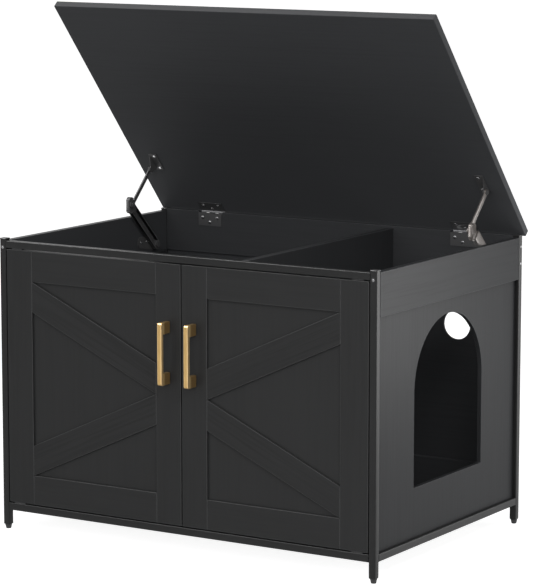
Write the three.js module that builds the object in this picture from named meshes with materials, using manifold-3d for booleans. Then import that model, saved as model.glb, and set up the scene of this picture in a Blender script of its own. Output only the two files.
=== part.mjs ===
// Cat litter box cabinet: square-tube frame, two inset barn doors, arched side entrance,
// inner divider and a flip-up lid on two butt hinges and two folding lid stays.
// Millimetres. X to the right, Y to the back, Z up. The lid is drawn open, the doors shut.
// Inside this file Y = 0 is the front plane of the posts; the whole model is then moved so that
// the origin lies at the bottom centre of its box.
import * as THREE from 'three';
import { mergeVertices } from 'three/addons/utils/BufferGeometryUtils.js';
import Module from 'manifold-3d';

const wasm = await Module();
wasm.setup();

// ---- driving dimensions ----
const W = 900; // over the posts, left to right
const D = 615; // over the posts, front to back
const GAP = 0.3; // between pieces that touch
const TUBE = 15; // square steel tube of the frame
const WALL = 1.2; // its wall
const Z_TUBE = 10; // bottom end of the posts
const Z_POST = 617; // top of the post caps
const Z_TOP = 612; // top of the rails and upper boards
const Z_RAIL_LOW = 41.5; // underside of the bottom rails
const Z_RAIL_TOP = 57.3; // top of the bottom rails
const Z_HEAD = 597; // underside of the front top rail

const BOARD = 15; // thickness of the upper boards, divider and floor
const Z_BOARD = 524; // underside of the upper boards
const PANEL = 9; // thickness of the side panels
const RECESS = 8; // side panels behind the outer faces of the posts
const REBATE_Y = 21; // back edge of the rebate that clears the doors
const BACK = 5; // thickness of the back panel
const BACK_Y = 604; // inner face of the back panel
const STRIP = { thick: 12, top: 124 }; // strip along the foot of the back panel
const ARCH = { y: 310, spring: 350, sill: 159, r: 143 }; // cat entrance in the right side
const VENT = { x: 302.5, z: 415.5, r: 32 }; // round vent in the back panel

const DIVIDER_X = 134; // left face of the divider
const PASS = { y: 430, spring: 300, sill: 110, r: 105 }; // opening in the divider

const DOOR = { edge: 432.6, middle: 1.5, low: 60, high: 594.5 };
const FACING = { front: 0.5, back: 5.5 }; // stiles, rails and braces laid on the door panel
const DOOR_PANEL = { front: 5.8, back: 15.8 };
const STILE_OUTER = 369.7; // inner edge of the hinge-side stile
const STILE_MIDDLE = 60.8; // inner edge of the stile at the middle
const DOOR_RAIL = { low: 121.8, high: 530.3 }; // edges of the door's recess
const BRACE = 63; // height of a brace, measured straight up
const PIVOT = { x: 408.5, y: 10.8, r: 2.5, depth: 14 };
const HANDLE = { x: 31.5, low: 350, high: 478, width: 10, bar: 8, reach: 32, foot: 24 };

const OPEN = THREE.MathUtils.degToRad(49); // lid angle as drawn
const AXIS = { y: 613.8, z: 614.8, r: 2.3, pin: 1.2 }; // lid hinge line
const LID = { half: 456, length: 626.4, thick: 15.5, rear: 4, under: 2.7 };
const HINGE = { x: 318, width: 60, leaf: 27, thick: 1.2 };
const Z_REAR = 616.5; // top of the rear board, notched down to Z_TOP at the hinges

const STAY_ELBOW = { y: 439, z: 643 }; // middle pivot of a stay
const STAY_HEAD = { along: 143, drop: 12 }; // upper pivot, measured in the lid

const LID_REAR_Y = AXIS.y + LID.rear * Math.cos(OPEN) + (LID.under + LID.thick) * Math.sin(OPEN);
const Y_ORIGIN = (LID_REAR_Y - HANDLE.reach) / 2;

// ---- materials ----
const material = (color, roughness, metalness = 0) =>
  () => new THREE.MeshStandardMaterial({ color, roughness, metalness });
const blackSteel = material(0x24262a, 0.42, 0.5);
const blackBoard = material(0x2b2d30, 0.55);
const darkBoard = material(0x232528, 0.6);
const blackPlastic = material(0x18191b, 0.5);
const hingeSteel = material(0x55575a, 0.35, 0.8);
const staySteel = material(0x8c8a88, 0.28, 0.9);
const brass = material(0xc9a05c, 0.3, 0.9);

// ---- geometry helpers ----
const place = new THREE.Group();
place.position.set(0, -Y_ORIGIN, 0);

function add(name, makeMaterial, geometry) {
  const mesh = new THREE.Mesh(geometry, makeMaterial());
  mesh.name = name;
  place.add(mesh);
  return mesh;
}

function box(x0, x1, y0, y1, z0, z1) {
  const geometry = new THREE.BoxGeometry(x1 - x0, y1 - y0, z1 - z0);
  return geometry.translate((x0 + x1) / 2, (y0 + y1) / 2, (z0 + z1) / 2);
}

// The same piece on the other side of the cabinet, with its faces still pointing out.
function mirrored(geometry) {
  const flipped = geometry.index ? geometry.toNonIndexed() : geometry.clone();
  flipped.scale(-1, 1, 1);
  const position = flipped.getAttribute('position');
  for (let i = 0; i < position.count; i += 3) {
    const [x, y, z] = [position.getX(i), position.getY(i), position.getZ(i)];
    position.setXYZ(i, position.getX(i + 1), position.getY(i + 1), position.getZ(i + 1));
    position.setXYZ(i + 1, x, y, z);
  }
  return flipped;
}

function solid(geometry) {
  const bare = geometry.clone();
  bare.deleteAttribute('normal');
  bare.deleteAttribute('uv');
  const merged = mergeVertices(bare, 1e-4);
  return new wasm.Manifold(new wasm.Mesh({
    numProp: 3,
    vertProperties: new Float32Array(merged.getAttribute('position').array),
    triVerts: new Uint32Array(merged.index.array),
  }));
}

function surface(manifold) {
  const { vertProperties, triVerts } = manifold.getMesh();
  const geometry = new THREE.BufferGeometry();
  geometry.setAttribute('position', new THREE.BufferAttribute(vertProperties, 3));
  geometry.setIndex(new THREE.BufferAttribute(triVerts, 1));
  geometry.computeVertexNormals();
  return geometry;
}

function join(first, ...rest) {
  return surface(rest.reduce((sum, piece) => sum.add(solid(piece)), solid(first)));
}

function cut(first, ...rest) {
  return surface(rest.reduce((sum, piece) => sum.subtract(solid(piece)), solid(first)));
}

function outline(points) {
  return new THREE.Shape(points.map(([u, v]) => new THREE.Vector2(u, v)));
}

// A shape drawn in Y and Z, pushed along X from x0 to x1.
function alongX(shape, x0, x1, segments = 12) {
  const options = { depth: x1 - x0, bevelEnabled: false, curveSegments: segments };
  const basis = new THREE.Matrix4().set(0, 0, 1, x0, 1, 0, 0, 0, 0, 1, 0, 0, 0, 0, 0, 1);
  return new THREE.ExtrudeGeometry(shape, options).applyMatrix4(basis);
}

// A shape drawn in X and Z, pushed along Y from y0 to y1.
function alongY(shape, y0, y1, segments = 12) {
  const options = { depth: y1 - y0, bevelEnabled: false, curveSegments: segments };
  return new THREE.ExtrudeGeometry(shape, options).rotateX(Math.PI / 2).translate(0, y1, 0);
}

function roundX(y, z, r, x0, x1, segments = 20) {
  const geometry = new THREE.CylinderGeometry(r, r, x1 - x0, segments);
  return geometry.rotateZ(Math.PI / 2).translate((x0 + x1) / 2, y, z);
}

function roundY(x, z, r, y0, y1, segments = 20) {
  const geometry = new THREE.CylinderGeometry(r, r, y1 - y0, segments);
  return geometry.translate(x, (y0 + y1) / 2, z);
}

function roundZ(x, y, rLow, rHigh, z0, z1, segments = 20) {
  const geometry = new THREE.CylinderGeometry(rHigh, rLow, z1 - z0, segments);
  return geometry.rotateX(Math.PI / 2).translate(x, y, (z0 + z1) / 2);
}

// A bar with round ends between two points of the Y-Z plane.
function capsule(a, b, r) {
  const turn = Math.atan2(b.z - a.z, b.y - a.y);
  const shape = new THREE.Shape();
  shape.absarc(a.y, a.z, r, turn + Math.PI / 2, turn + (3 * Math.PI) / 2, false);
  shape.absarc(b.y, b.z, r, turn - Math.PI / 2, turn + Math.PI / 2, false);
  shape.closePath();
  return shape;
}

// A bar in the y-z plane with a square end at a and a round end at b.
function squareBar(a, b, r) {
  const turn = Math.atan2(b.z - a.z, b.y - a.y);
  const [dy, dz] = [-r * Math.sin(turn), r * Math.cos(turn)];
  const shape = new THREE.Shape();
  shape.moveTo(a.y - dy, a.z - dz);
  shape.lineTo(b.y - dy, b.z - dz);
  shape.absarc(b.y, b.z, r, turn - Math.PI / 2, turn + Math.PI / 2, false);
  shape.lineTo(a.y + dy, a.z + dz);
  shape.closePath();
  return shape;
}

// A doorway with a half-round head, drawn in Y and Z.
function archway({ y, spring, sill, r }) {
  const path = new THREE.Path();
  path.moveTo(y - r, sill);
  path.lineTo(y + r, sill);
  path.lineTo(y + r, spring);
  path.absarc(y, spring, r, 0, Math.PI, false);
  path.lineTo(y - r, sill);
  return path;
}

// Square tube: a hollow bar between two corners, open at the ends named by its long axis.
function tube(axis, x0, x1, y0, y1, z0, z1) {
  const past = 5;
  const inner = { x: [x0 + WALL, x1 - WALL], y: [y0 + WALL, y1 - WALL], z: [z0 + WALL, z1 - WALL] };
  const outer = { x: [x0, x1], y: [y0, y1], z: [z0, z1] };
  inner[axis] = [outer[axis][0] - past, outer[axis][1] + past];
  return cut(box(x0, x1, y0, y1, z0, z1), box(...inner.x, ...inner.y, ...inner.z));
}

// A point of the lid's frame (along it from the hinge line, above its axis) in Y and Z.
function inLid(along, above) {
  return {
    y: AXIS.y - along * Math.cos(OPEN) + above * Math.sin(OPEN),
    z: AXIS.z + along * Math.sin(OPEN) + above * Math.cos(OPEN),
  };
}

// Moves a piece drawn with the lid shut (Y and Z measured from the hinge line) to the open lid.
function onLid(geometry) {
  return geometry.rotateX(-OPEN).translate(0, AXIS.y, AXIS.z);
}

const sides = [['left', -1], ['right', 1]];
const oriented = (side, geometry) => (side < 0 ? mirrored(geometry) : geometry);

// ---- frame: posts, feet and rails ----
const half = W / 2;
const screwHead = { r: 3.4, lift: 1.3 };
for (const [sideName, side] of sides) {
  for (const [endName, y0] of [['front', 0], ['rear', D - TUBE]]) {
    const x0 = half - TUBE;
    const post = tube('z', x0, half, y0, y0 + TUBE, Z_TUBE, Z_TOP);
    const cap = new THREE.CylinderGeometry((TUBE / 2 - 0.8) * Math.SQRT2, (TUBE / 2) * Math.SQRT2, 1.2, 4, 1)
      .rotateY(Math.PI / 4).rotateX(Math.PI / 2).translate(x0 + TUBE / 2, y0 + TUBE / 2, Z_POST - 0.6);
    const block = box(x0, half, y0, y0 + TUBE, Z_TOP - 1, Z_POST - 1.2);
    const heads = endName === 'front'
      ? [roundY(half - TUBE / 2, Z_TOP - 14, screwHead.r, -screwHead.lift, 0.5, 16)]
      : [593, 557].map((z) => roundX(y0 + TUBE / 2, z, screwHead.r, half - 0.5, half + screwHead.lift, 16));
    add(`post_${endName}_${sideName}`, blackSteel, oriented(side, join(post, block, cap, ...heads)));

    const [footX, footY] = [x0 + TUBE / 2, y0 + TUBE / 2];
    const foot = join(
      roundZ(footX, footY, 5.4, 6.9, 0, Z_TUBE - GAP, 24),
      box(footX - 5.9, footX + 5.9, footY - 5.9, footY + 5.9, Z_TUBE - 1, Z_TUBE + 14),
    );
    add(`foot_${endName}_${sideName}`, blackPlastic, oriented(side, foot));
  }
}
const railX = half - TUBE - GAP;
add('rail_top_front', blackSteel, tube('x', -railX, railX, 0, TUBE, Z_HEAD, Z_TOP));
add('rail_bottom_front', blackSteel, tube('x', -railX, railX, 0, TUBE, Z_RAIL_LOW, Z_RAIL_TOP));
add('rail_bottom_rear', blackSteel, tube('x', -railX, railX, D - TUBE, D, Z_RAIL_LOW, Z_RAIL_TOP));
for (const [sideName, side] of sides) {
  const rail = tube('y', half - TUBE, half, TUBE + GAP, D - TUBE - GAP, Z_RAIL_LOW, Z_RAIL_TOP);
  add(`rail_bottom_${sideName}`, blackSteel, oriented(side, rail));
}

// ---- carcass: upper boards, side panels, back, floor and divider ----
const yFront = TUBE + GAP;
const yRear = D - TUBE - GAP;
const zPanel = Z_RAIL_TOP + GAP;
for (const [sideName, side] of sides) {
  const board = box(half - BOARD, half, yFront, yRear, Z_BOARD, Z_TOP);
  add(`board_upper_${sideName}`, blackBoard, oriented(side, board));
  const sheet = outline([[yFront, zPanel], [yRear, zPanel], [yRear, Z_BOARD - GAP], [yFront, Z_BOARD - GAP]]);
  if (side > 0) sheet.holes.push(archway(ARCH));
  const panel = alongX(sheet, half - RECESS - PANEL, half - RECESS, 20);
  // The door's hinge-side edge swings past a rebate along the front of the panel.
  const rebate = box(half - RECESS - PANEL - 1, half - BOARD + GAP, 10, REBATE_Y, 0, Z_TOP);
  add(`panel_${sideName}`, blackBoard, oriented(side, cut(panel, rebate)));
}
const notches = sides.map(([, side]) => {
  const reach = HINGE.width / 2 + 1;
  return box(side * HINGE.x - reach, side * HINGE.x + reach, D - BOARD - 1, D + 1, Z_TOP, Z_REAR + 1);
});
add('board_upper_rear', blackBoard, cut(box(-railX, railX, D - BOARD, D, Z_BOARD, Z_REAR), ...notches));

const backSheet = outline([[-railX, zPanel], [railX, zPanel], [railX, Z_BOARD - GAP], [-railX, Z_BOARD - GAP]]);
const ventHole = new THREE.Path();
ventHole.absarc(VENT.x, VENT.z, VENT.r, 0, 2 * Math.PI, false);
backSheet.holes.push(ventHole);
add('panel_back', darkBoard, alongY(backSheet, BACK_Y, BACK_Y + BACK, 16));

const innerX = half - RECESS - PANEL - GAP;
const stripY = BACK_Y - GAP - STRIP.thick;
add('strip_back', darkBoard, box(-innerX, innerX, stripY, BACK_Y - GAP, zPanel, STRIP.top));
add('floor_panel', darkBoard, box(-railX, railX, yFront, yRear, Z_RAIL_TOP - BOARD, Z_RAIL_TOP));

const doorBack = DOOR_PANEL.back + 1.7;
const dividerSheet = outline([
  [doorBack, zPanel],
  [stripY - GAP, zPanel],
  [stripY - GAP, STRIP.top + GAP],
  [BACK_Y - GAP, STRIP.top + GAP],
  [BACK_Y - GAP, Z_BOARD - GAP],
  [D - BOARD - GAP, Z_BOARD - GAP],
  [D - BOARD - GAP, Z_TOP],
  [yFront, Z_TOP],
  [yFront, Z_HEAD - GAP],
  [doorBack, Z_HEAD - GAP],
]);
dividerSheet.holes.push(archway(PASS));
add('divider', darkBoard, alongX(dividerSheet, DIVIDER_X, DIVIDER_X + BOARD, 16));

// ---- doors: panel, applied stiles, rails and braces, bar handle, strike plate ----
const facing = (x0, x1, z0, z1) => box(x0, x1, FACING.front, FACING.back, z0, z1);
const zMiddle = (DOOR_RAIL.low + DOOR_RAIL.high) / 2;
for (const [sideName, side] of sides) {
  const door = (piece, makeMaterial, geometry) =>
    add(`door_${sideName}_${piece}`, makeMaterial, oriented(side, geometry));

  const slab = box(DOOR.middle, DOOR.edge, DOOR_PANEL.front, DOOR_PANEL.back, DOOR.low, DOOR.high);
  const bore = PIVOT.r + 0.06;
  door('panel', blackBoard, cut(
    slab,
    roundZ(PIVOT.x, PIVOT.y, bore, bore, DOOR.low - 2, DOOR.low + PIVOT.depth, 24),
    roundZ(PIVOT.x, PIVOT.y, bore, bore, DOOR.high - PIVOT.depth, DOOR.high + 2, 24),
  ));

  door('stile_hinge', blackBoard, facing(STILE_OUTER, DOOR.edge, DOOR.low, DOOR.high));
  door('stile_middle', blackBoard, facing(DOOR.middle, STILE_MIDDLE, DOOR.low, DOOR.high));
  const [railStart, railEnd] = [STILE_MIDDLE + GAP, STILE_OUTER - GAP];
  door('rail_upper', blackBoard, facing(railStart, railEnd, DOOR_RAIL.high, DOOR.high));
  door('rail_lower', blackBoard, facing(railStart, railEnd, DOOR.low, DOOR_RAIL.low));

  // Each brace runs from a corner on the hinge side to the middle of the other stile.
  for (const [braceName, corner, up] of [['upper', DOOR_RAIL.high, 1], ['lower', DOOR_RAIL.low, -1]]) {
    const points = [
      [railStart, zMiddle + up * (GAP / 2)],
      [railEnd, corner - up * (BRACE + GAP)],
      [railEnd, corner - up * GAP],
      [railStart, zMiddle + up * (BRACE + GAP / 2)],
    ];
    const brace = outline(up > 0 ? points : points.reverse());
    door(`brace_${braceName}`, blackBoard, alongY(brace, FACING.front, FACING.back));
  }

  const { low, high, reach, bar, foot } = HANDLE;
  const end = FACING.front - GAP;
  const soft = 6;
  const bow = new THREE.Shape();
  bow.moveTo(end, low);
  bow.lineTo(end, low + foot);
  bow.lineTo(bar - reach, low + foot);
  bow.lineTo(bar - reach, high - foot);
  bow.lineTo(end, high - foot);
  bow.lineTo(end, high);
  bow.lineTo(soft - reach, high);
  bow.absarc(soft - reach, high - soft, soft, Math.PI / 2, Math.PI, false);
  bow.lineTo(-reach, low + soft);
  bow.absarc(soft - reach, low + soft, soft, Math.PI, (3 * Math.PI) / 2, false);
  bow.closePath();
  const grip = alongX(bow, HANDLE.x - HANDLE.width / 2, HANDLE.x + HANDLE.width / 2, 6);
  door('handle', brass, grip);

  const strikeY = DOOR_PANEL.back + GAP;
  door('strike', hingeSteel, box(7, 31, strikeY, strikeY + 0.8, 572, 590));
}

// Pivot pins: a flanged pin above and below each door, screwed to the rails.
for (const [sideName, side] of sides) {
  for (const [endName, face, up] of [['upper', Z_HEAD - GAP, -1], ['lower', zPanel, 1]]) {
    const span = (from, to) => [face + up * from, face + up * to].sort((a, b) => a - b);
    const flange = box(PIVOT.x - 14, PIVOT.x + 12, 2.3, TUBE - 0.5, ...span(0, 1.4));
    const pin = roundZ(PIVOT.x, PIVOT.y, PIVOT.r, PIVOT.r, ...span(1, PIVOT.depth), 24);
    add(`pivot_${endName}_${sideName}`, hingeSteel, oriented(side, join(flange, pin)));
  }
}

// Twin magnetic catch behind the top rail, where both doors meet.
add('magnet_catch', blackPlastic, join(
  box(-38, 38, yFront, yFront + 2.2, Z_HEAD + 1, Z_TOP - 2),
  box(-34, 34, yFront + 2, yFront + 20, Z_HEAD - 26, Z_HEAD + 6),
));

// ---- lid and its hinges ----
const lidSheet = box(
  -LID.half, LID.half,
  LID.rear - LID.length, LID.rear,
  LID.under, LID.under + LID.thick,
);
add('lid_panel', blackBoard, onLid(lidSheet));

// Five knuckles: three and the pin on the lower leaf, two on the upper leaf.
const knuckle = HINGE.width / 5;
for (const [sideName, side] of sides) {
  const start = HINGE.x - HINGE.width / 2;
  const barrel = (index) => [start + index * knuckle + GAP / 2, start + (index + 1) * knuckle - GAP / 2];
  const leafY = D - BOARD - GAP;
  const lower = [
    box(start, start + HINGE.width, leafY - HINGE.thick, leafY, Z_TOP - HINGE.leaf, Z_TOP + 1.5),
    roundX(AXIS.y, AXIS.z, AXIS.pin, start, start + HINGE.width, 16),
    ...[0, 2, 4].map((i) => box(...barrel(i), leafY - HINGE.thick, AXIS.y, Z_TOP + GAP, Z_TOP + 1.5)),
    ...[0, 2, 4].map((i) => roundX(AXIS.y, AXIS.z, AXIS.r, ...barrel(i), 20)),
    ...[[-19, 9], [19, 9], [0, 19]].map(([x, down]) =>
      roundY(HINGE.x + x, Z_TOP - down, 3.4, leafY - HINGE.thick - 0.7, leafY - 0.4, 16)),
  ];
  add(`hinge_${sideName}_leaf_frame`, hingeSteel, oriented(side, join(...lower)));

  const [plateLow, plateHigh] = [LID.under - GAP - HINGE.thick, LID.under - GAP];
  const upper = [
    box(start, start + HINGE.width, -HINGE.leaf, -3.2, plateLow, plateHigh),
    ...[1, 3].map((i) => box(...barrel(i), -3.6, 0, plateLow, 2.1)),
    ...[1, 3].map((i) => roundX(0, 0, AXIS.r, ...barrel(i), 20)),
    ...[[-19, 19], [19, 19], [0, 9]].map(([x, along]) =>
      roundZ(HINGE.x + x, -along, 3.4, 3.4, plateLow - 0.7, plateHigh - 0.4, 16)),
  ];
  const hollow = roundX(0, 0, AXIS.pin + 0.06, start - 2, start + HINGE.width + 2, 24);
  add(`hinge_${sideName}_leaf_lid`, hingeSteel, oriented(side, onLid(cut(join(...upper), hollow))));
}

// ---- lid stays: side bracket, lower arm with elbow housing, upper arm, lid bracket ----
const head = inLid(STAY_HEAD.along, -STAY_HEAD.drop);
const elbow = STAY_ELBOW;
// The lower arm stays parallel to the line from the lid hinge to the upper pivot.
const foot = { y: elbow.y + AXIS.y - head.y, z: elbow.z + AXIS.z - head.z };
const above = (point, dz) => ({ y: point.y, z: point.z + dz });
const towards = (a, b, distance) => {
  const share = distance / Math.hypot(b.y - a.y, b.z - a.z);
  return { y: a.y + share * (b.y - a.y), z: a.z + share * (b.z - a.z) };
};
for (const [sideName, side] of sides) {
  const stay = (piece, geometry) => add(`stay_${sideName}_${piece}`, staySteel, oriented(side, geometry));
  const wall = half - BOARD - GAP;

  stay('side_bracket', join(
    alongX(capsule({ y: foot.y - 46, z: foot.z + 8 }, foot, 13), wall - 2, wall),
    roundX(foot.y, foot.z, 4, 417.6, wall - 1, 24),
    roundX(foot.y, foot.z, 6.5, 417.6, 420.4, 24),
    ...[24, 46].map((dy) => roundX(foot.y - dy, foot.z + 8, 3.6, wall - 2.8, wall - 1, 16)),
  ));

  // A channel 21 wide and 10 deep with a square end, open towards the inside of the cabinet,
  // and the upright elbow housing on a neck in front of it.
  const lowerArm = join(
    cut(
      alongX(squareBar(towards(elbow, foot, 13), foot, 10.5), 421, 431, 10),
      alongX(squareBar(towards(elbow, foot, 15), foot, 8.5), 420, 429.2, 10),
    ),
    roundX(foot.y, foot.z, 9, 421, 430, 24),
    alongX(capsule(elbow, towards(elbow, foot, 20), 7), 421, 428, 10),
    alongX(capsule(above(elbow, -11), above(elbow, 7), 9), 419.4, 428, 10),
    roundX(elbow.y, elbow.z - 11, 6.2, 427, 429.4, 24),
    roundX(elbow.y, elbow.z, 3, 413.4, 420, 24),
    roundX(elbow.y, elbow.z, 5.2, 413.4, 415.6, 24),
  );
  stay('lower_arm', cut(lowerArm, roundX(foot.y, foot.z, 4.06, 415, 433, 32)));

  // A flat arm with a groove along both faces.
  const groove = capsule(towards(elbow, head, 15), towards(head, elbow, 13), 2.7);
  stay('upper_arm', cut(
    join(
      alongX(capsule(elbow, head, 4.7), 416, 419, 8),
      roundX(elbow.y, elbow.z, 8, 416, 419, 24),
      roundX(head.y, head.z, 6.2, 416, 419, 24),
    ),
    roundX(elbow.y, elbow.z, 3.06, 410, 424, 32),
    roundX(head.y, head.z, 3, 410, 424, 32),
    alongX(groove, 415, 416.8, 8),
    alongX(groove, 418.2, 420, 8),
  ));

  // The ear's rivet passes through a wide hole in the upper arm.
  const ear = new THREE.Shape();
  const along = -STAY_HEAD.along;
  const bottom = LID.under - GAP - 1.6;
  ear.moveTo(along - 30, bottom + 0.5);
  ear.lineTo(along - 8, -STAY_HEAD.drop);
  ear.absarc(along, -STAY_HEAD.drop, 8, Math.PI, 2 * Math.PI, false);
  ear.lineTo(along + 12, bottom + 0.5);
  ear.closePath();
  stay('lid_bracket', onLid(join(
    box(395, 415, along - 34, along + 15, bottom, bottom + 1.6),
    alongX(ear, 413, 415, 10),
    roundX(along, -STAY_HEAD.drop, 2.4, 414, 421.2, 20),
    roundX(along, -STAY_HEAD.drop, 5.4, 419.6, 421.2, 24),
    ...[-27, 8].map((y) => roundZ(401.5, along + y, 3.4, 3.4, bottom - 0.8, bottom + 1, 16)),
  )));
}

const cabinet = new THREE.Group();
cabinet.name = 'cat_litter_cabinet';
cabinet.add(place);

export default cabinet;
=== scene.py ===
"""Cat litter box cabinet: square-tube frame, barn doors with brass handles, arched side entrance
and an open lid on two hinges and two folding stays. Lengths are millimetres in the cabinet's own
axes (x = 0 in the middle, y = 0 at the front of the posts, z = 0 on the floor) and become metres
in the row frame. The floor and the lamps are in metres of the row frame."""

import math

import bmesh
import bpy
from mathutils import Matrix, Vector


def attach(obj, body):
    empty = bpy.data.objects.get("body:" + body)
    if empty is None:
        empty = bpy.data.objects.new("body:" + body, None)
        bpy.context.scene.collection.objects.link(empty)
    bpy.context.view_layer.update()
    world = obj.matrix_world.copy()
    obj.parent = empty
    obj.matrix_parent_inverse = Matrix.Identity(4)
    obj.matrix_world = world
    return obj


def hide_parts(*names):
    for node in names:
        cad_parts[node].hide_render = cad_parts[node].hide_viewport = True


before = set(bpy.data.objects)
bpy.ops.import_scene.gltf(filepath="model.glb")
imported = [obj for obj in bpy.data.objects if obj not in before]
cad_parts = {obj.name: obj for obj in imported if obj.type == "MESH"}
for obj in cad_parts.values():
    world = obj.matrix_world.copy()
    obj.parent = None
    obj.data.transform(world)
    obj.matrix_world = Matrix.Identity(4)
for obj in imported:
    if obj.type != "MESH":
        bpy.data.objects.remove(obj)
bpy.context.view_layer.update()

# ---------------------------------------------------------------- dimensions
MM = 0.001
GAP = 0.3  # clearance between neighbouring pieces
HALF = 450.0  # half the width over the posts
DEPTH = 615.0
TUBE = 15.0  # square tube of the frame
CORNER = 1.9  # rolled corner of the tube
Z_TUBE, Z_TOP, Z_POST = 10.0, 612.0, 617.0  # lower end of the posts, top of the rail, top of the caps
Z_RAIL_LOW, Z_RAIL_TOP, Z_HEAD = 41.5, 57.3, 597.0  # bottom rails, underside of the front top rail

OPEN = math.radians(49)  # lid angle at rest
AXIS_Y, AXIS_Z = 613.8, 614.8  # hinge line of the lid
LID_UNDER, LID_THICK = 2.7, 15.5  # underside of the lid above the hinge line, and its thickness
LID_REAR = 4.0  # of the lid behind the hinge line
HINGE_X = 318.0
STAY_ELBOW = (439.0, 643.0)  # y and z
STAY_ALONG, STAY_DROP = 143.0, 12.0  # upper pivot, along the lid and below its hinge line

DOOR_BACK_Y = 15.8
HANDLE_X, HANDLE_REACH = 31.5, 32.0
BRACE_RUN, BRACE_RISE = 308.0, 141.0

# The row frame's y starts midway between the front of the handles and the rear of the open lid.
LID_REAR_Y = AXIS_Y + LID_REAR * math.cos(OPEN) + (LID_UNDER + LID_THICK) * math.sin(OPEN)
Y_ORIGIN = (LID_REAR_Y - HANDLE_REACH) / 2

SIDES = (("left", -1), ("right", 1))


def row(x, y, z):
    """A point of the cabinet in the row frame, in metres."""
    return Vector((x * MM, (y - Y_ORIGIN) * MM, z * MM))


def lid_point(along, above):
    """Cabinet y and z of a point given in the lid: along it from the hinge line and above it."""
    y = AXIS_Y - along * math.cos(OPEN) + above * math.sin(OPEN)
    return y, AXIS_Z + along * math.sin(OPEN) + above * math.cos(OPEN)


def in_lid(x, along, above):
    """The same point in the row frame."""
    return row(x, *lid_point(along, above))


# The lower arm of a stay is parallel to the line from the lid's hinge line to the upper pivot.
PIVOT_Y, PIVOT_Z = lid_point(STAY_ALONG, -STAY_DROP)
STAY_FOOT_Y = STAY_ELBOW[0] + AXIS_Y - PIVOT_Y
STAY_FOOT_Z = STAY_ELBOW[1] + AXIS_Z - PIVOT_Z


# ---------------------------------------------------------------- node helpers
class Nodes:
    """An emptied node tree of a material or world, with short calls to add nodes to it."""

    def __init__(self, owner):
        owner.use_nodes = True
        self.tree = owner.node_tree
        self.tree.nodes.clear()

    def link(self, source, target):
        self.tree.links.new(source, target)

    def add(self, kind, **values):
        node = self.tree.nodes.new(kind)
        for key, value in values.items():
            setattr(node, key, value)
        return node

    def math(self, operation, a, b=0.0):
        node = self.add("ShaderNodeMath", operation=operation)
        for socket, value in zip(node.inputs, (a, b)):
            if isinstance(value, (int, float)):
                socket.default_value = value
            else:
                self.link(value, socket)
        return node.outputs[0]

    def seen(self):
        """1 for camera, glossy and transmission rays and 0 for the rest."""
        path = self.add("ShaderNodeLightPath")
        either = self.math("MAXIMUM", path.outputs["Is Camera Ray"], path.outputs["Is Glossy Ray"])
        return self.math("MAXIMUM", either, path.outputs["Is Transmission Ray"])


class Shader(Nodes):
    """A material with one Principled shader and patterns in object coordinates."""

    def __init__(self, name):
        self.material = bpy.data.materials.new(name)
        super().__init__(self.material)
        output = self.add("ShaderNodeOutputMaterial")
        self.bsdf = self.add("ShaderNodeBsdfPrincipled")
        self.link(self.bsdf.outputs[0], output.inputs["Surface"])
        self.coordinates = self.add("ShaderNodeTexCoord").outputs["Object"]

    def position(self):
        """Sockets X, Y and Z of the point, in metres of the row frame."""
        split = self.add("ShaderNodeSeparateXYZ")
        self.link(self.coordinates, split.inputs[0])
        return split.outputs

    def turned(self, rotation=(0, 0, 0), scale=(1, 1, 1), shift=(0, 0, 0)):
        """Object coordinates, moved, turned and then stretched."""
        first = self.add("ShaderNodeMapping", vector_type="POINT")
        first.inputs["Location"].default_value = shift
        first.inputs["Rotation"].default_value = rotation
        self.link(self.coordinates, first.inputs["Vector"])
        second = self.add("ShaderNodeMapping", vector_type="POINT")
        second.inputs["Scale"].default_value = scale
        self.link(first.outputs[0], second.inputs["Vector"])
        return second.outputs[0]

    def noise(self, vector, scale, detail=4.0, rough=0.55, distortion=0.0):
        node = self.add("ShaderNodeTexNoise")
        self.link(vector, node.inputs["Vector"])
        node.inputs["Scale"].default_value = scale
        node.inputs["Detail"].default_value = detail
        node.inputs["Roughness"].default_value = rough
        node.inputs["Distortion"].default_value = distortion
        return node.outputs["Fac"]

    def ramp(self, value, low, high, out_low=0.0, out_high=1.0):
        """Maps low..high smoothly to out_low..out_high."""
        node = self.add("ShaderNodeMapRange", interpolation_type="SMOOTHSTEP")
        self.link(value, node.inputs["Value"])
        node.inputs["From Min"].default_value = low
        node.inputs["From Max"].default_value = high
        node.inputs["To Min"].default_value = out_low
        node.inputs["To Max"].default_value = out_high
        return node.outputs["Result"]

    def blend(self, factor, first, second):
        """A colour between two, each given as a tuple or a socket."""
        node = self.add("ShaderNodeMix", data_type="RGBA")
        self.link(factor, node.inputs["Factor"])
        for socket, value in ((node.inputs[6], first), (node.inputs[7], second)):
            if isinstance(value, tuple):
                socket.default_value = (*value, 1.0)
            else:
                self.link(value, socket)
        return node.outputs[2]

    def bump(self, height, strength, distance, below=None):
        node = self.add("ShaderNodeBump")
        node.inputs["Strength"].default_value = strength
        node.inputs["Distance"].default_value = distance
        self.link(height, node.inputs["Height"])
        if below is not None:
            self.link(below, node.inputs["Normal"])
        return node.outputs[0]

    def finish(self, color, roughness, normal, **constants):
        self.link(color, self.bsdf.inputs["Base Color"])
        self.link(roughness, self.bsdf.inputs["Roughness"])
        self.link(normal, self.bsdf.inputs["Normal"])
        for key, value in constants.items():
            self.bsdf.inputs[key.replace("_", " ")].default_value = value
        return self.material


def shade(color, factor):
    return tuple(c * factor for c in color)


def grey(level, extra_blue):
    """A nearly neutral colour."""
    return (level, level, level + extra_blue)


def stretched(axis, along, across):
    """Frequencies per metre in x, y and z of a pattern that runs along one axis."""
    return tuple(along if name == axis else across for name in "xyz")


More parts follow.
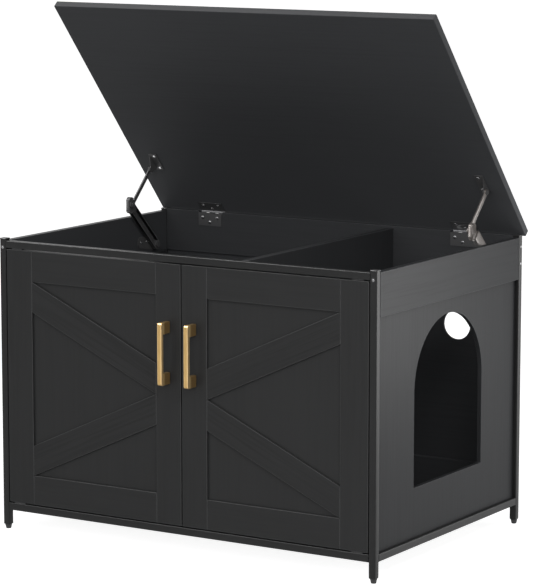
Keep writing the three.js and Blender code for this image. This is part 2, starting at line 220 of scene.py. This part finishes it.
# ---------------------------------------------------------------- boards
BLACK = (0.0246, 0.0249, 0.0252)
COOL_BLACK = (0.0240, 0.0247, 0.0262)
GRAIN_ALONG, GRAIN_ACROSS = 5.0, 210.0  # frequencies of the wood grain per metre
FIGURE = 0.16  # frequency of the broad figure as a share of the grain's
FIGURE_SHIFT = (0.37, 0.11, 0.23)  # keeps the figure from following the grain
PORE_DARKER, FLAT_LIGHTER, CLOUD_TONE = 0.16, 0.03, 1.08
# Painted light: below the lower height the open lid is lightened for the shade near its hinges.
LID_PAINTED_LIGHT_SPAN = (0.60, 0.88)  # heights in metres between which the tone of the open lid changes


def board(name, along, tilt=0.0, grain=1.0, tone=1.0, gloss=0.34, specular=0.06, color=BLACK,
          painted_light_inside=None, painted_light_hinge_end=None):
    """Black wood-grain foil. along is the axis the grain runs in, tilt turns it in X-Z.
    The optional tone of the side boards' faces that look into the cabinet paints light into the shade
    inside it, and the optional tone of the lid's end near its hinges paints light into the shade there;
    both are relative to the rest of the board."""
    s = Shader(name)
    base = shade(color, tone)
    grain_way = stretched(along, GRAIN_ALONG, GRAIN_ACROSS)
    figure_way = stretched(along, GRAIN_ALONG * FIGURE, GRAIN_ACROSS * FIGURE)
    fine = s.noise(s.turned((0, tilt, 0), grain_way), 1.0, 5.0, 0.62, 0.35)
    broad = s.noise(s.turned((0, tilt, 0), figure_way, FIGURE_SHIFT), 1.0, 3.0, 0.5, 0.6)
    streak = s.math("MULTIPLY", s.ramp(fine, 0.36, 0.56), s.ramp(broad, 0.3, 0.7, 0.7, 1.0))
    cloud = s.noise(s.turned(scale=(3, 3, 3)), 1.0, 3.0)
    pores, flats = shade(base, 1.0 - PORE_DARKER * grain), shade(base, 1.0 + FLAT_LIGHTER * grain)
    tint = s.blend(streak, pores, flats)
    tint = s.blend(s.ramp(cloud, 0.3, 0.7, 0.0, 0.3), tint, shade(base, CLOUD_TONE))
    if painted_light_inside is not None:
        # Painted light: the side boards' faces inside the cabinet are lightened to make up for the shade
        # there.
        off_middle = s.math("ABSOLUTE", s.position()["X"])
        inside_faces_mask = s.math("LESS_THAN", off_middle, (HALF - TUBE + GAP) * MM)
        tint = s.blend(inside_faces_mask, tint, shade(base, painted_light_inside))
    if painted_light_hinge_end is not None:
        # Painted light on the lid's end near its hinges, where shade falls.
        tint = s.blend(s.ramp(s.position()["Z"], *LID_PAINTED_LIGHT_SPAN), shade(base, painted_light_hinge_end), tint)
    speck = s.noise(s.turned(), 900.0, 2.0)
    sheen = s.ramp(fine, 0.3, 0.7, gloss + 0.02 * grain, gloss - 0.01 * grain)
    roughness = s.math("ADD", sheen, s.ramp(speck, 0.2, 0.8, -0.015, 0.015))
    normal = s.bump(fine, 0.06 * grain, 0.0003)
    normal = s.bump(speck, 0.08, 0.0001, normal)
    return s.finish(tint, roughness, normal, Specular_IOR_Level=specular)


def inner_board(name, along, tone):
    """The duller foil of the back and of the boards inside the cabinet."""
    return board(name, along, grain=0.6, tone=tone, gloss=0.6, specular=0.08, color=COOL_BLACK)


BRACE_TILT = math.atan2(BRACE_RISE, BRACE_RUN)
foil_x = board("foil_grain_x", "x", grain=0.6)
foil_z = board("foil_grain_z", "z", grain=0.6)
foil_door_panel = board("foil_door_panel", "z", grain=0.45)
foil_side = board("foil_side", "y", specular=0.045, color=COOL_BLACK, painted_light_inside=1.7)
foil_side_z = board("foil_side_z", "z", grain=0.8, specular=0.045, color=COOL_BLACK)
foil_brace = {
    1: board("foil_brace_rising", "x", BRACE_TILT, grain=1.3),
    -1: board("foil_brace_falling", "x", -BRACE_TILT, grain=1.3),
}
# The inside foils are copies of one foil with tones that paint light and shade: raised where the inside
# lies in shade, lowered on the divider, which the lamps light more.
foil_inner = inner_board("foil_inner", "x", tone=1.3)
foil_inner_z = inner_board("foil_inner_z", "z", tone=0.95)
foil_rear = inner_board("foil_rear", "x", tone=1.2)
# Lighter foils for the rounded edges: a painted highlight along the arrises.
foil_arris_highlight = board("foil_arris_highlight", "z", grain=0.3, tone=2.2, gloss=0.4, specular=0.1)
foil_arris_highlight_cool = board(
    "foil_arris_highlight_cool", "y", grain=0.3, tone=1.9, gloss=0.4, specular=0.1, color=COOL_BLACK)
# The lid's raised tone is painted light for its underside, which lies in shade when the lid is open.
foil_lid = board("foil_lid", "x", grain=0.5, tone=1.62, gloss=0.6, color=COOL_BLACK, painted_light_hinge_end=1.5)


# ---------------------------------------------------------------- steel, plastic and fittings
def powder_coat(name):
    """Black powder coat: fine orange peel and faint cloudiness."""
    s = Shader(name)
    peel = s.noise(s.turned(), 620.0, 2.0, 0.5)
    cloud = s.noise(s.turned(), 9.0, 4.0, 0.6)
    color = s.blend(s.ramp(cloud, 0.3, 0.7), shade(BLACK, 0.45), shade(BLACK, 0.56))
    roughness = s.ramp(peel, 0.3, 0.7, 0.43, 0.35)
    return s.finish(color, roughness, s.bump(peel, 0.2, 0.00012), Specular_IOR_Level=0.15)


def plastic(name, color, gloss):
    """Moulded plastic with a spark-eroded skin."""
    s = Shader(name)
    skin = s.noise(s.turned(), 1400.0, 2.0, 0.5)
    cloud = s.noise(s.turned(), 40.0, 3.0)
    tint = s.blend(s.ramp(cloud, 0.3, 0.7), color, shade(color, 1.3))
    roughness = s.ramp(skin, 0.3, 0.7, gloss + 0.08, gloss - 0.04)
    return s.finish(tint, roughness, s.bump(skin, 0.25, 0.00008), Specular_IOR_Level=0.4)


def brushed(s, axis, along, across):
    """Streaks along one axis, and the same streaks broken up by clouds."""
    streak = s.noise(s.turned(scale=stretched(axis, along, across)), 1.0, 3.0, 0.6)
    cloud = s.noise(s.turned(), 60.0, 4.0, 0.6)
    broken = s.math("MULTIPLY", s.ramp(streak, 0.25, 0.75), s.ramp(cloud, 0.25, 0.75, 0.6, 1.0))
    return streak, broken


def metal(name, low, high, gloss, axis="x", metallic=1.0, specular=0.5):
    """Plated metal: colours low to high in streaks along one axis."""
    s = Shader(name)
    streak, broken = brushed(s, axis, 60.0, 2600.0)
    roughness = s.ramp(streak, 0.25, 0.75, gloss + 0.08, gloss - 0.05)
    surface = s.bump(streak, 0.05, 0.00008)
    return s.finish(
        s.blend(broken, low, high), roughness, surface, Metallic=metallic, Specular_IOR_Level=specular)


def hinge_plating_with_highlight(name):
    """Dark leaves round a knuckle painted bright as a highlight, told apart by the distance from the
    hinge line.
    """
    knuckle_radius = 2.5
    s = Shader(name)
    speck = s.noise(s.turned(), 1500.0, 2.0, 0.6)
    pattern = s.ramp(speck, 0.3, 0.7)
    dark = s.blend(pattern, grey(0.037, 0.001), grey(0.066, 0.002))
    knuckle_highlight = s.blend(pattern, grey(0.16, 0.005), grey(0.30, 0.01))
    place = s.position()
    across = s.math("SUBTRACT", place["Y"], (AXIS_Y - Y_ORIGIN) * MM)
    above = s.math("SUBTRACT", place["Z"], AXIS_Z * MM)
    square = s.math("ADD", s.math("MULTIPLY", across, across), s.math("MULTIPLY", above, above))
    knuckle = s.math("LESS_THAN", square, (knuckle_radius * MM) ** 2)
    roughness = s.ramp(speck, 0.2, 0.8, 0.46, 0.34)
    # Painted highlight along the knuckle.
    color = s.blend(knuckle, dark, knuckle_highlight)
    return s.finish(color, roughness, s.bump(speck, 0.15, 0.00006), Metallic=0.2)


def brushed_brass(name):
    """Brass brushed lengthways, with the arrises of the grip painted brighter than its flats as a
    highlight, and the feet painted darker as shade.
    """
    flat_half, arris_half = 2.6, 4.4  # distances from the middle of the grip
    feet_front, feet_back = -24, -17  # cabinet y over which the grip turns into the feet
    s = Shader(name)
    streak, broken = brushed(s, "z", 48, 2100)
    flats = s.blend(broken, (0.36, 0.225, 0.075), (0.54, 0.36, 0.145))
    arrises = s.blend(broken, (0.56, 0.38, 0.17), (0.80, 0.59, 0.31))
    place = s.position()
    offset = s.math("SUBTRACT", s.math("ABSOLUTE", place["X"]), HANDLE_X * MM)
    arris_highlight = s.ramp(s.math("ABSOLUTE", offset), flat_half * MM, arris_half * MM)
    feet_shade = s.ramp(place["Y"], (feet_front - Y_ORIGIN) * MM, (feet_back - Y_ORIGIN) * MM)
    # Painted highlight on the arrises of the grip, and painted shade on the feet next to the door.
    color = s.blend(feet_shade, s.blend(arris_highlight, flats, arrises), (0.26, 0.165, 0.065))
    roughness = s.ramp(streak, 0.25, 0.75, 0.4, 0.28)
    return s.finish(color, roughness, s.bump(streak, 0.1, 0.00008), Metallic=0.65)


steel = powder_coat("powder_coat_black")
cap_plastic = plastic("plastic_cap", grey(0.018, 0.0005), 0.42)
foot_plastic = plastic("plastic_foot", grey(0.012, 0.0005), 0.48)
catch_plastic = plastic("plastic_catch", grey(0.012, 0.0005), 0.5)
hinge_metal = hinge_plating_with_highlight("hinge_plating_with_highlight")
pivot_metal = metal("pivot_gunmetal", grey(0.030, 0.001), grey(0.07, 0.002), 0.36, metallic=0.4)
# The stays are one metal in two copies: the left one painted darker as shade and the right one lighter
# as light; the lid brackets take the darker copy.
stay_shaded = metal(
    "stay_shaded", (0.044, 0.044, 0.045), (0.080, 0.079, 0.080), 0.42, "z", metallic=0.1, specular=0.12)
stay_lit = metal("stay_lit", (0.10, 0.09, 0.085), (0.24, 0.22, 0.205), 0.3, "z", metallic=0.5)
stay_metal = {-1: stay_shaded, 1: stay_lit}
bright_screw = metal("screw_zinc", grey(0.55, 0.01), grey(0.82, 0.01), 0.22)
dark_screw = metal("screw_black_zinc", grey(0.22, 0.005), grey(0.45, 0.01), 0.25)
brass = brushed_brass("brushed_brass")


# ---------------------------------------------------------------- dressing CAD nodes
WELD_DISTANCE = 1e-6
FLAT_ANGLE = math.radians(0.4)
EDGE_ANGLE = math.radians(32)


def dress(node, material, edge, segments=3, edge_highlight=None):
    """A CAD node keeps its shape and gets a material and edges rounded by edge millimetres.
    An optional lighter material on those edges paints a highlight along them."""
    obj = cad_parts[node]
    obj.data.materials.clear()
    obj.data.materials.append(material)
    for polygon in obj.data.polygons:
        polygon.material_index = 0
        polygon.use_smooth = True
    weld = obj.modifiers.new("weld", "WELD")
    weld.merge_threshold = WELD_DISTANCE
    flat = obj.modifiers.new("flat", "DECIMATE")
    flat.decimate_type = "DISSOLVE"
    flat.angle_limit = FLAT_ANGLE
    bevel = obj.modifiers.new("edge", "BEVEL")
    bevel.width = edge * MM
    bevel.segments = segments
    bevel.limit_method = "ANGLE"
    bevel.angle_limit = EDGE_ANGLE
    bevel.miter_outer = "MITER_ARC"
    if edge_highlight is not None:
        obj.data.materials.append(edge_highlight)
        bevel.material = 1
    facing = obj.modifiers.new("facing", "WEIGHTED_NORMAL")
    facing.weight = 100


def dress_carcass():
    for side, _ in SIDES:
        dress(f"board_upper_{side}", foil_side, edge=0.9, edge_highlight=foil_arris_highlight_cool)
        dress(f"panel_{side}", foil_side_z, edge=0.7, edge_highlight=foil_arris_highlight_cool)
    dress("board_upper_rear", foil_rear, edge=0.9, edge_highlight=foil_arris_highlight_cool)
    dress("panel_back", foil_inner, edge=0.4, segments=2)
    dress("strip_back", foil_inner, edge=0.7)
    dress("floor_panel", foil_inner, edge=0.7)
    dress("divider", foil_inner_z, edge=0.8, edge_highlight=foil_arris_highlight_cool)


def dress_doors():
    for side, sign in SIDES:
        dress(f"door_{side}_panel", foil_door_panel, edge=0.5, segments=2)
        facings = {
            "stile_hinge": foil_z,
            "stile_middle": foil_z,
            "rail_upper": foil_x,
            "rail_lower": foil_x,
            "brace_upper": foil_brace[sign],
            "brace_lower": foil_brace[-sign],
        }
        for piece, foil in facings.items():
            dress(f"door_{side}_{piece}", foil, edge=0.8, edge_highlight=foil_arris_highlight)
        dress(f"door_{side}_handle", brass, edge=1.3, segments=4)
        dress(f"door_{side}_strike", bright_screw, edge=0.15, segments=2)
        for end in ("upper", "lower"):
            dress(f"pivot_{end}_{side}", pivot_metal, edge=0.25, segments=2)
    dress("magnet_catch", catch_plastic, edge=0.8)


def dress_lid():
    dress("lid_panel", foil_lid, edge=1.4, segments=4)
    for side, sign in SIDES:
        for leaf in ("frame", "lid"):
            dress(f"hinge_{side}_leaf_{leaf}", hinge_metal, edge=0.2, segments=2)
        dress(f"stay_{side}_side_bracket", stay_metal[sign], edge=0.3, segments=2)
        dress(f"stay_{side}_lower_arm", stay_metal[sign], edge=0.4, segments=2)
        dress(f"stay_{side}_upper_arm", stay_metal[sign], edge=0.5, segments=2)
        dress(f"stay_{side}_lid_bracket", stay_shaded, edge=0.25, segments=2)


dress_carcass()
dress_doors()
dress_lid()


# ---------------------------------------------------------------- mesh helpers
SHARP_ANGLE = math.radians(40)


def make(name, mesh, material, body, stands_for=None):
    """A finished piece from a bmesh: recalculated, linked, ridden and given its finish."""
    bmesh.ops.recalc_face_normals(mesh, faces=mesh.faces)
    data = bpy.data.meshes.new(name)
    mesh.to_mesh(data)
    mesh.free()
    obj = bpy.data.objects.new(name, data)
    bpy.context.scene.collection.objects.link(obj)
    data.materials.append(material)
    for polygon in data.polygons:
        polygon.use_smooth = True
    data.set_sharp_from_angle(angle=SHARP_ANGLE)
    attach(obj, body)
    if stands_for:
        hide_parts(stands_for)


def rounded_rectangle(width, height, radius, steps=4):
    """Corner-rounded rectangle about the origin, as 2-D points."""
    points = []
    for cx, cy, start in ((1, 1, 0), (-1, 1, 90), (-1, -1, 180), (1, -1, 270)):
        for i in range(steps + 1):
            angle = math.radians(start + 90 * i / steps)
            points.append((
                cx * (width / 2 - radius) + radius * math.cos(angle),
                cy * (height / 2 - radius) + radius * math.sin(angle),
            ))
    return points


def loft(mesh, rings, close_top=True):
    """Skins rings of row-frame points, all of one length. Closes the first, and mostly the last."""
    built = [[mesh.verts.new(p) for p in ring] for ring in rings]
    count = len(built[0])
    for low, high in zip(built, built[1:]):
        for i in range(count):
            j = (i + 1) % count
            mesh.faces.new((low[i], low[j], high[j], high[i]))
    mesh.faces.new(built[0][::-1])
    if close_top:
        mesh.faces.new(built[-1])
    return built


def bar(axis, x_span, y_span, z_span, chamfer):
    """A square bar with rolled corners and chamfered ends, long in axis. Spans are (low, high)."""
    mesh = bmesh.new()
    spans = (x_span, y_span, z_span)
    a = "xyz".index(axis)
    b, c = (a + 1) % 3, (a + 2) % 3
    low, high = spans[a]
    width, height = spans[b][1] - spans[b][0], spans[c][1] - spans[c][0]
    rings = []
    for at, inset in ((low, chamfer), (low + chamfer, 0.0), (high - chamfer, 0.0), (high, chamfer)):
        ring = []
        for u, v in rounded_rectangle(width - 2 * inset, height - 2 * inset, CORNER - inset):
            point = [0.0, 0.0, 0.0]
            point[a], point[b], point[c] = at, sum(spans[b]) / 2 + u, sum(spans[c]) / 2 + v
            ring.append(row(*point))
        rings.append(ring)
    loft(mesh, rings)
    return mesh


def placer(centre, direction, turn=0.0):
    """A function that places millimetres across an axis (u, v) and along it (w)."""
    along = Vector(direction).normalized()
    side = Matrix.Rotation(turn, 3, along) @ along.orthogonal().normalized()
    other = along.cross(side)
    return lambda u, v, w: centre + (side * u + other * v + along * w) * MM


def spun(at, profile, steps):
    """Rings of a turned shape from its (radius, height) pairs."""
    angles = [2 * math.pi * i / steps for i in range(steps)]
    return [[at(r * math.cos(t), r * math.sin(t), height) for t in angles] for r, height in profile]


# ---------------------------------------------------------------- frame
TUBE_CHAMFER, CAP_CHAMFER = 0.2, 0.6
CAP_LIP, CAP_HEIGHT, CAP_SEAM = 0.6, 2.4, 0.1
GLIDE_PROFILE = (
    (4.6, 0.0), (5.3, 0.5), (5.6, 1.4), (6.6, 6.2), (7.2, 7.6), (7.3, 8.8), (7.0, 9.5), (5.9, 9.7),
    (5.9, 20.0),
)


def rails():
    """Front top rail and the four bottom rails."""
    inner = HALF - TUBE - GAP
    between = (-inner, inner)
    front, rear = (0, TUBE), (DEPTH - TUBE, DEPTH)
    depthwise = (TUBE + GAP, DEPTH - TUBE - GAP)
    low, top = (Z_RAIL_LOW, Z_RAIL_TOP), (Z_HEAD, Z_TOP)
    extents = {
        "rail_top_front": ("x", between, front, top),
        "rail_bottom_front": ("x", between, front, low),
        "rail_bottom_rear": ("x", between, rear, low),
        "rail_bottom_left": ("y", (-HALF, TUBE - HALF), depthwise, low),
        "rail_bottom_right": ("y", (HALF - TUBE, HALF), depthwise, low),
    }
    for name, extent in extents.items():
        make(f"tube_{name}", bar(*extent, TUBE_CHAMFER), steel, "cabinet", name)


def posts():
    """Four posts, each with its cap and its turned glide."""
    for side, sign in SIDES:
        for end, y0 in (("front", 0.0), ("rear", DEPTH - TUBE)):
            where = f"{end}_{side}"
            x0 = HALF - TUBE if sign > 0 else -HALF
            tube_top = Z_POST - CAP_HEIGHT - CAP_SEAM
            post = bar("z", (x0, x0 + TUBE), (y0, y0 + TUBE), (Z_TUBE, tube_top), TUBE_CHAMFER)
            make(f"tube_post_{where}", post, steel, "cabinet", f"post_{where}")
            cap = bar(
                "z",
                (x0 - CAP_LIP, x0 + TUBE + CAP_LIP),
                (y0 - CAP_LIP, y0 + TUBE + CAP_LIP),
                (Z_POST - CAP_HEIGHT, Z_POST),
                CAP_CHAMFER,
            )
            make(f"cap_post_{where}", cap, cap_plastic, "cabinet")
            glide = bmesh.new()
            at = placer(row(x0 + TUBE / 2, y0 + TUBE / 2, 0), (0, 0, 1))
            loft(glide, spun(at, GLIDE_PROFILE, 32))
            make(f"glide_{where}", glide, foot_plastic, "cabinet", f"foot_{where}")


rails()
posts()

# ---------------------------------------------------------------- screws
# Head radius and height of each kind.
HINGE_SCREW = (3.6, 0.9)
SIDE_BRACKET_SCREW = (3.8, 1.0)
LID_BRACKET_SCREW = (3.6, 1.0)
HANDLE_SCREW = (3.9, 1.6)
FRAME_SCREW = (2.7, 1.5)

SEGMENTS = 24
HEAD_PROFILE = ((1.0, 0.0), (1.0, 0.35), (0.94, 0.68), (0.80, 0.88), (0.62, 1.0))  # shares of the head
RECESS_ARM, RECESS_HALF = 0.52, 0.13  # the cross, in shares of the head's radius
RECESS_TAPER, RECESS_FLOOR = 0.8, 0.25
WASHER_PROFILE = ((4.3, 0.0), (4.3, 0.4), (4.0, 0.6), (3.0, 0.6))

LEAF_FRONT_Y, LEAF_UNDER = 598.2, 1.1  # faces of the hinge leaves on the frame and on the lid
FRAME_LEAF_HOLES = ((-19, 9), (19, 9), (0, 19))  # from the hinge's middle, and below the rail's top
LID_LEAF_HOLES = ((-19, 19), (19, 19), (0, 9))  # from the hinge's middle, and along the lid
SIDE_BRACKET_X, SIDE_BRACKET_RISE = 432.6, 8
SIDE_BRACKET_HOLES = (24, 46)  # in front of the stay's foot
LID_BRACKET_X, LID_BRACKET_UNDER = 401.5, 0.7
LID_BRACKET_HOLES = (27, -8)  # along the lid, beyond the upper pivot
HANDLE_HOLES_Z = (358, 470)
FRONT_SCREW_DROP = 14
REAR_SCREWS_Z = (593, 557)
INLET = 0.1  # how far the frame screws sit in the tube


def nearest(corners, angle):
    """The recess corner closest in angle."""
    best, found = math.inf, 0
    for i, (u, v) in enumerate(corners):
        gap = abs((math.atan2(v, u) - angle + math.pi) % (2 * math.pi) - math.pi)
        if gap < best - 1e-9:
            best, found = gap, i
    return found


def cross_corners(radius):
    """Outline of the cross recess, counter-clockwise."""
    arm, half = radius * RECESS_ARM, radius * RECESS_HALF
    corners = []
    for quarter in range(4):
        c, s = math.cos(quarter * math.pi / 2), math.sin(quarter * math.pi / 2)
        corners += [(u * c - v * s, u * s + v * c) for u, v in ((arm, -half), (arm, half), (half, half))]
    return corners


def cross_head(mesh, centre, direction, size, turn):
    """A pan-head screw with a cross recess, its flat side at centre."""
    radius, height = size
    at = placer(centre, direction, turn)
    profile = [(radius * share, height * level) for share, level in HEAD_PROFILE]
    rim = loft(mesh, spun(at, profile, SEGMENTS), close_top=False)[-1]
    corners = cross_corners(radius)
    top = [mesh.verts.new(at(u, v, height)) for u, v in corners]
    deep = [
        mesh.verts.new(at(u * RECESS_TAPER, v * RECESS_TAPER, height * RECESS_FLOOR)) for u, v in corners
    ]
    count = len(top)
    for i in range(count):
        j = (i + 1) % count
        mesh.faces.new((top[i], top[j], deep[j], deep[i]))
    mesh.faces.new(deep)
    # The land between the rim and the recess is fanned from the recess corner nearest in angle.
    step = 2 * math.pi / SEGMENTS
    for i in range(SEGMENTS):
        j = (i + 1) % SEGMENTS
        pick, last = nearest(corners, (i + 0.5) * step), nearest(corners, (i + 1.5) * step)
        mesh.faces.new((rim[i], rim[j], top[pick]))
        while pick != last:
            following = (pick + 1) % count
            mesh.faces.new((rim[j], top[following], top[pick]))
            pick = following


def fitting_screws():
    """The bright screws of each body, as (centre, direction of the head, size)."""
    screws = {"cabinet": [], "lid": [], "door_left": [], "door_right": []}
    down_lid = in_lid(0, 0, -1) - in_lid(0, 0, 0)
    for side, sign in SIDES:
        for dx, drop in FRAME_LEAF_HOLES:
            centre = row(sign * (HINGE_X + dx), LEAF_FRONT_Y, Z_TOP - drop)
            screws["cabinet"].append((centre, (0, -1, 0), HINGE_SCREW))
        for dx, along in LID_LEAF_HOLES:
            centre = in_lid(sign * (HINGE_X + dx), along, LEAF_UNDER)
            screws["lid"].append((centre, down_lid, HINGE_SCREW))
        for dy in SIDE_BRACKET_HOLES:
            centre = row(sign * SIDE_BRACKET_X, STAY_FOOT_Y - dy, STAY_FOOT_Z + SIDE_BRACKET_RISE)
            screws["cabinet"].append((centre, (-sign, 0, 0), SIDE_BRACKET_SCREW))
        for beyond in LID_BRACKET_HOLES:
            centre = in_lid(sign * LID_BRACKET_X, STAY_ALONG + beyond, LID_BRACKET_UNDER)
            screws["lid"].append((centre, down_lid, LID_BRACKET_SCREW))
        for z in HANDLE_HOLES_Z:
            centre = row(sign * HANDLE_X, DOOR_BACK_Y, z)
            screws[f"door_{side}"].append((centre, (0, 1, 0), HANDLE_SCREW))
    return screws


def frame_screws():
    """The dark screws of the posts: one in front, two on the rear posts' outer faces."""
    screws = []
    for _, sign in SIDES:
        centre = row(sign * (HALF - TUBE / 2), INLET, Z_TOP - FRONT_SCREW_DROP)
        screws.append((centre, (0, -1, 0), FRAME_SCREW))
        for z in REAR_SCREWS_Z:
            centre = row(sign * (HALF - INLET), DEPTH - TUBE / 2, z)
            screws.append((centre, (sign, 0, 0), FRAME_SCREW))
    return screws


def drive(name, heads, material, body, first_turn, further_turn):
    """One piece of all the heads, each turned further than the one before."""
    mesh = bmesh.new()
    for i, (centre, direction, size) in enumerate(heads):
        cross_head(mesh, centre, direction, size, first_turn + further_turn * i)
    make(name, mesh, material, body)


def lay_washers(heads):
    """Dark rings round the heads of the frame screws."""
    mesh = bmesh.new()
    for centre, direction, _ in heads:
        loft(mesh, spun(placer(centre, direction), WASHER_PROFILE, SEGMENTS))
    make("washers_frame", mesh, foot_plastic, "cabinet")


for body, heads in fitting_screws().items():
    drive(f"screws_{body}", heads, bright_screw, body, 0.3, 1.1)
drive("screws_frame", frame_screws(), dark_screw, "cabinet", 0.2, 0.9)
lay_washers(frame_screws())

# ---------------------------------------------------------------- floor, world, lamps, camera
FLOOR_REACH, FLOOR_DROP = 30.0, 0.0003
FLOOR_COLOR, FLOOR_GLOW = (0.6, 0.6, 0.6), 0.9
WORLD_LEVEL = 0.28  # strength of the world on matt surfaces; it shows as white


def stage_floor():
    """A pale floor that keeps the shadow and shows as white."""
    mesh = bmesh.new()
    signs = ((-1, -1), (1, -1), (1, 1), (-1, 1))
    mesh.faces.new([mesh.verts.new((x * FLOOR_REACH, y * FLOOR_REACH, -FLOOR_DROP)) for x, y in signs])
    data = bpy.data.meshes.new("floor")
    mesh.to_mesh(data)
    mesh.free()
    floor = bpy.data.objects.new("floor", data)
    bpy.context.scene.collection.objects.link(floor)
    material = bpy.data.materials.new("floor_white")
    nodes = Nodes(material)
    output = nodes.add("ShaderNodeOutputMaterial")
    total = nodes.add("ShaderNodeAddShader")
    diffuse = nodes.add("ShaderNodeBsdfDiffuse")
    diffuse.inputs["Color"].default_value = (*FLOOR_COLOR, 1.0)
    glow = nodes.add("ShaderNodeEmission")
    nodes.link(nodes.math("MULTIPLY", nodes.seen(), FLOOR_GLOW), glow.inputs["Strength"])
    nodes.link(diffuse.outputs[0], total.inputs[0])
    nodes.link(glow.outputs[0], total.inputs[1])
    nodes.link(total.outputs[0], output.inputs["Surface"])
    data.materials.append(material)


def white_world():
    """A white world that lights matt surfaces at WORLD_LEVEL."""
    world = bpy.data.worlds.new("studio")
    bpy.context.scene.world = world
    nodes = Nodes(world)
    output = nodes.add("ShaderNodeOutputWorld")
    background = nodes.add("ShaderNodeBackground")
    background.inputs["Color"].default_value = (1, 1, 1, 1)
    level = nodes.add("ShaderNodeMapRange")
    level.inputs["To Min"].default_value = WORLD_LEVEL
    level.inputs["To Max"].default_value = 1.0
    nodes.link(nodes.seen(), level.inputs["Value"])
    nodes.link(level.outputs[0], background.inputs["Strength"])
    nodes.link(background.outputs[0], output.inputs["Surface"])


def softbox(name, place, target, width, height, radiance, diffuse=True, glossy=True):
    """A rectangular lamp aimed at target, with its power worked out from radiance and size."""
    data = bpy.data.lights.new(name, "AREA")
    data.shape = "RECTANGLE"
    data.size = width
    data.size_y = height
    data.energy = radiance * math.pi * width * height
    lamp = bpy.data.objects.new(name, data)
    bpy.context.scene.collection.objects.link(lamp)
    lamp.location = place
    lamp.rotation_euler = (Vector(target) - Vector(place)).to_track_quat("-Z", "Y").to_euler()
    lamp.visible_camera = False
    lamp.visible_diffuse = diffuse
    lamp.visible_glossy = glossy


def lights():
    """Front light, two lamps for the entrance side, one that draws the glints, and light from above."""
    softbox("fill", (1.4, -5.6, 2.0), (0, 0, 0.5), 2.8, 2.0, 5.0, glossy=False)
    softbox("front_left", (-2.4, -4.6, 2.6), (0, 0, 0.5), 2.4, 2.0, 2.5, glossy=False)
    softbox("front_high", (0.4, -3.0, 3.3), (0.1, 0, 0.5), 2.4, 2.0, 2.2, glossy=False)
    softbox("side_top", (1.3, -0.45, 1.45), (0.45, -0.1, 0.55), 0.8, 0.6, 2.6, glossy=False)
    softbox("right_rear", (1.6, 1.3, 0.34), (0.45, -0.1, 0.4), 0.7, 0.6, 9.5)
    softbox("glint", (-1.6, -0.8, 3.1), (0, -0.3, 0.6), 1.6, 1.6, 26.0, diffuse=False)
    softbox("right_high", (2.4, -2.0, 2.6), (-0.2, 0, 0.55), 1.2, 1.2, 9.0, glossy=False)
    softbox("overhead", (0.3, 0.2, 3.2), (0, 0, 0.4), 2.4, 2.4, 0.9)


CAMERA_PLACE = (3176.93, -4793.36, 1419.49)  # in the cabinet's axes
CAMERA_YAW, CAMERA_DOWN = 31.829, 8.733  # degrees
CAMERA_LENS, CAMERA_SENSOR = 178.47, 36.0


def aim_camera():
    data = bpy.data.cameras.new("camera")
    camera = bpy.data.objects.new("camera", data)
    bpy.context.scene.collection.objects.link(camera)
    bpy.context.scene.camera = camera
    data.sensor_fit = "AUTO"
    data.sensor_width = CAMERA_SENSOR
    data.lens = CAMERA_LENS
    data.clip_end = 100.0
    camera.location = row(*CAMERA_PLACE)
    camera.rotation_euler = (math.radians(90 - CAMERA_DOWN), 0, math.radians(CAMERA_YAW))


stage_floor()
white_world()
lights()
aim_camera()

bpy.context.scene.view_settings.view_transform = "Standard"
